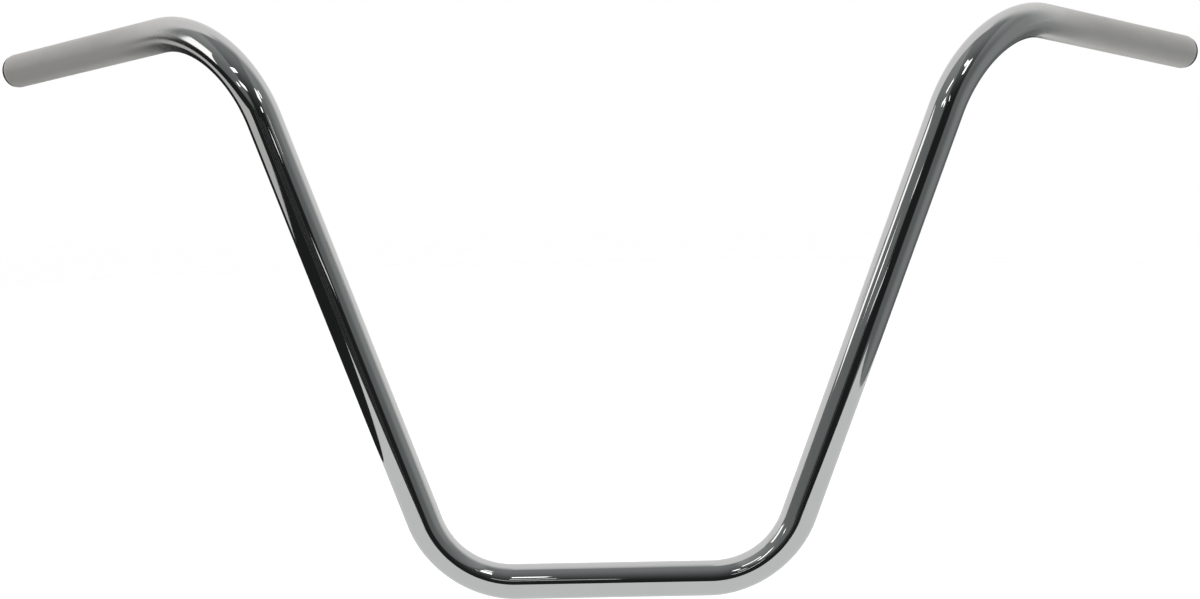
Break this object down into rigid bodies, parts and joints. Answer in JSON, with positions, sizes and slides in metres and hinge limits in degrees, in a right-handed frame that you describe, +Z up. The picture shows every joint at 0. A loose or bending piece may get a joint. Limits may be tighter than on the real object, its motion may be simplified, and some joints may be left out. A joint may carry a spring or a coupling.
{
  "type": "handlebar",
  "caption": "Ape-hanger motorcycle handlebar: one bent chromed steel tube with tall outward-leaning risers, pulled-back grip ends and push-in end plugs.",
  "frame": {"origin": "on the tube's axis at the middle of the clamp run between the two lower bends", "axes": "+X across the machine to the rider's left, +Y towards the rider, +Z up in the plane of the clamp run and the risers"},
  "size_m": [0.9154, 0.2118, 0.4205],
  "materials": {
    "chrome_tube": "mirror-polished chrome plating that turns to a fine satin on the two grip runs",
    "plug_plastic": "moulded black plastic, matt"
  },
  "bodies": {
    "root": {"handlebar_tube": "chrome_tube", "left_end_plug": "plug_plastic", "right_end_plug": "plug_plastic"}
  },
  "joints": []
}
